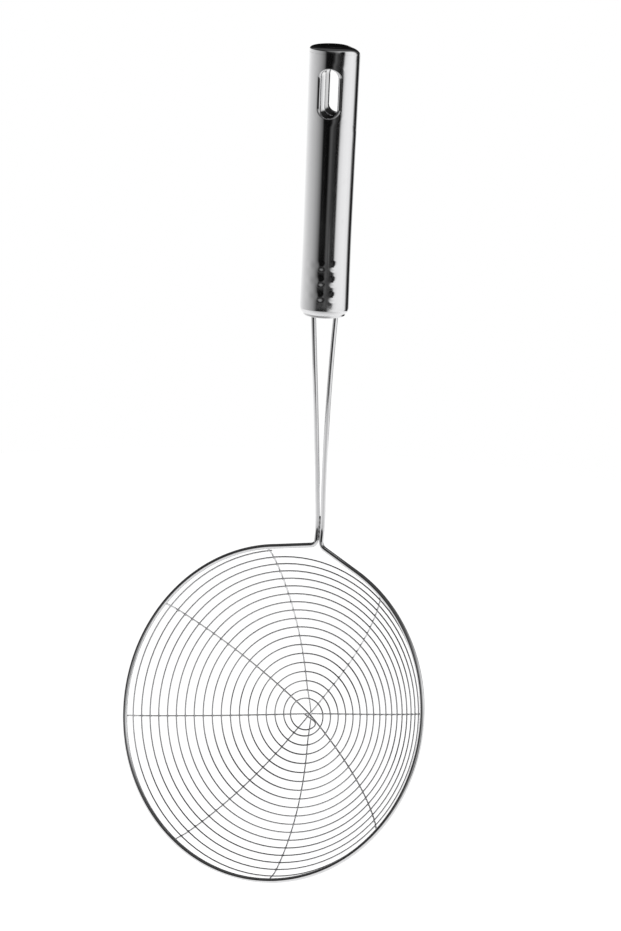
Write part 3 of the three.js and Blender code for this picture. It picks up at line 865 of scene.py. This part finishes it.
def brushed_handle_steel():
    material, tree, shader, place = start_steel("handle_steel_brushed")
    lines = use_group(tree, BRUSHED_LINES, place, Across=1500, Along=14)
    marks = use_group(tree, HANDLING_MARKS, place, Scale=110, Cover=0.2)
    scratches = use_group(tree, HAIR_SCRATCHES, place, Scale=420)
    worn = arithmetic(tree, "MAXIMUM", arithmetic(tree, "MULTIPLY", marks, 0.7), scratches)
    colour = mix(tree, worn, grey(0.82), grey(0.7))
    tree.links.new(colour, shader.inputs["Base Color"])
    roughness = arithmetic(tree, "ADD", spread(tree, lines, 0.3, 0.7, 0.05, 0.11),
                           arithmetic(tree, "MULTIPLY", worn, 0.1))
    tree.links.new(roughness, shader.inputs["Roughness"])
    settings = {"Vector": place, "Scale": 260, "Detail": 3, "Roughness": 0.6}
    ripples = node(tree, "TexNoise", settings).outputs["Fac"]
    height = node(tree, "SeparateXYZ", {"Vector": place}).outputs["Z"]
    pressed = spread(tree, height, *RIPPLE_HEIGHTS, *RIPPLE_STRENGTHS)
    relief = arithmetic(tree, "ADD", arithmetic(tree, "SUBTRACT", lines, scratches),
                        arithmetic(tree, "MULTIPLY", ripples, pressed))
    press_in(tree, shader, relief, 0.05, 0.1 * MM)
    return material


def bright_wire_steel(name, pale, dark, smooth, rough):
    """Drawn wire: mottled grey, with die marks and small pits."""
    material, tree, shader, place = start_steel(name)
    marks = use_group(tree, HANDLING_MARKS, place, Scale=260, Cover=0.25)
    grain = node(tree, "TexNoise", {"Vector": place, "Scale": 5200, "Detail": 3}).outputs["Fac"]
    scratches = use_group(tree, HAIR_SCRATCHES, place, Scale=900)
    worn = arithmetic(tree, "MAXIMUM", marks, arithmetic(tree, "MULTIPLY", scratches, 0.8))
    tree.links.new(mix(tree, worn, grey(pale), grey(dark)), shader.inputs["Base Color"])
    mixed = arithmetic(tree, "ADD", arithmetic(tree, "MULTIPLY", worn, 0.6),
                       arithmetic(tree, "MULTIPLY", grain, 0.4))
    tree.links.new(spread(tree, mixed, 0.1, 0.9, smooth, rough), shader.inputs["Roughness"])
    press_in(tree, shader, grain, 0.08, 0.02 * MM)
    return material


HANDLE_STEEL = brushed_handle_steel()
RIM_STEEL = bright_wire_steel("rim_steel_drawn", 0.8, 0.68, 0.04, 0.14)
SPIRAL_STEEL = bright_wire_steel("spiral_steel_drawn", 0.66, 0.5, 0.2, 0.38)
CROSS_STEEL = bright_wire_steel("cross_steel_drawn", 0.88, 0.74, 0.16, 0.34)
# Weld steel is darker: partly the fused metal's own tone, partly painted shade where the wires touch and
# cross
WELD_STEEL_AND_PAINTED_SHADE = bright_wire_steel("weld_steel_fused_and_painted_shade", 0.42, 0.25, 0.3, 0.5)

handle_tube(HANDLE_STEEL)
end_cap(HANDLE_STEEL)
bottom_plug(HANDLE_STEEL)
rim_wire(RIM_STEEL)
neck_weld(WELD_STEEL_AND_PAINTED_SHADE)
cross_wires(CROSS_STEEL)
spiral_wire(SPIRAL_STEEL)
spot_welds(WELD_STEEL_AND_PAINTED_SHADE)


# Camera

def make_camera():
    camera = bpy.data.cameras.new("camera")
    camera.sensor_width = SENSOR
    camera.lens = FOCAL_PIXELS * SENSOR / IMAGE_HEIGHT
    camera.clip_start = CLIP_NEAR
    camera.clip_end = CLIP_FAR
    view = bpy.data.objects.new("camera", camera)
    bpy.context.scene.collection.objects.link(view)
    right = CAMERA_RIGHT.normalized()
    back = right.cross(CAMERA_UP).normalized()
    turn = Matrix((right, back.cross(right), back)).transposed()
    view.matrix_world = Matrix.Translation(CAMERA_PLACE) @ turn.to_4x4()
    bpy.context.scene.camera = view


make_camera()


# Stage and light

def azimuth_ramp(tree, azimuth, panels):
    """Brightness by azimuth, straight between the places where panels begin and end."""
    share = node(tree, "MapRange", {"Value": azimuth, "From Min": -pi, "From Max": pi})
    made = node(tree, "ValToRGB", {"Fac": share.outputs["Result"]})
    elements = made.color_ramp.elements
    elements[0].position = 0
    elements[1].position = 1
    for turn, _ in panels[1:-1]:
        elements.new((turn + 180) / 360)
    for element, (_, shade) in zip(elements, panels):
        element.color = (shade, shade, shade, 1)
    return made.outputs["Color"]


def front_shift(tree, azimuth, height):
    """How far the panels lean to the right at the top, from the camera's side to the bright panel."""
    begin = spread(tree, azimuth, *map(radians, FRONT_SHIFT_BEGIN), 0, radians(FRONT_SHIFT))
    end = spread(tree, azimuth, *map(radians, FRONT_SHIFT_END), 1, 0)
    lean = spread(tree, height, *FRONT_SHIFT_HEIGHTS, 0, 1)
    return arithmetic(tree, "MULTIPLY", arithmetic(tree, "MULTIPLY", begin, end), lean)


def make_world():
    """A studio of white and black panels, which only the steel sees: the camera sees plain white."""
    world = bpy.data.worlds.new("studio")
    bpy.context.scene.world = world
    world.use_nodes = True
    tree = world.node_tree
    tree.nodes.clear()
    direction = node(tree, "TexCoord").outputs["Generated"]
    sideways = Vector((-CAMERA_SIDE.y, CAMERA_SIDE.x, 0))
    ahead = along(tree, direction, CAMERA_SIDE)
    aside = along(tree, direction, sideways)
    azimuth = arithmetic(tree, "ARCTAN2", aside, ahead)
    height = node(tree, "SeparateXYZ", {"Vector": direction}).outputs["Z"]
    azimuth = arithmetic(tree, "SUBTRACT", azimuth, front_shift(tree, azimuth, height))
    studio = azimuth_ramp(tree, azimuth, WALL_PANELS)
    for edge, panels in ((FOOT_EDGE, FOOT_PANELS), (LEG_EDGE, LEG_PANELS), (LOW_EDGE, LOW_PANELS)):
        ring = azimuth_ramp(tree, azimuth, panels)
        studio = mix(tree, spread(tree, height, *edge, 0, 1), studio, ring)
    above = arithmetic(tree, "SUBTRACT", height, azimuth_ramp(tree, azimuth, PANEL_RISES))
    upper = azimuth_ramp(tree, azimuth, UPPER_PANELS)
    studio = mix(tree, spread(tree, above, *UPPER_EDGE, 0, 1), studio, upper)
    studio = mix(tree, spread(tree, height, *TOP_EDGE, 0, 1), studio, grey(TOP_SHADE))
    seen = mix(tree, node(tree, "LightPath").outputs["Is Camera Ray"], studio, (1, 1, 1, 1))
    background = node(tree, "Background", {"Color": seen})
    tree.links.new(background.outputs["Background"], node(tree, "OutputWorld").inputs["Surface"])


def make_floor():
    """A pale round table just below the bowl, with a faint shadow; steel sees it darken to the front."""
    start_piece()
    low, high = VISUAL_BOX
    place = ((low[0] + high[0]) / 2, (low[1] + high[1]) / 2, low[2] - FLOOR_GAP)
    size = {"vertices": FLOOR_SIDES, "radius": FLOOR_RADIUS}
    bpy.ops.mesh.primitive_circle_add(**size, fill_type="NGON", location=place)
    floor = bpy.context.object
    floor.name = "floor"
    bpy.ops.object.transform_apply(location=True)
    material = bpy.data.materials.new("floor_white")
    material.use_nodes = True
    tree = material.node_tree
    shader = tree.nodes["Principled BSDF"]
    shader.inputs["Base Color"].default_value = (FLOOR_SHADE, FLOOR_SHADE, FLOOR_SHADE, 1)
    shader.inputs["Roughness"].default_value = FLOOR_ROUGHNESS
    shader.inputs["Emission Color"].default_value = (1, 1, 1, 1)
    rays = node(tree, "LightPath").outputs
    seen = arithmetic(tree, "MAXIMUM", rays["Is Camera Ray"], rays["Is Transmission Ray"])
    place = node(tree, "TexCoord").outputs["Object"]
    ahead = along(tree, place, CAMERA_SIDE)
    mirrored = spread(tree, ahead, FLOOR_NEAR, FLOOR_FAR, FLOOR_NEAR_GLOW, FLOOR_FAR_GLOW)
    glow = arithmetic(tree, "ADD", arithmetic(tree, "MULTIPLY", seen, FLOOR_GLOW),
                      arithmetic(tree, "MULTIPLY", rays["Is Glossy Ray"], mirrored))
    tree.links.new(glow, shader.inputs["Emission Strength"])
    floor.data.materials.append(material)


VISUAL_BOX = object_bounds()
make_world()
make_floor()
bpy.context.scene.view_settings.view_transform = "Standard"
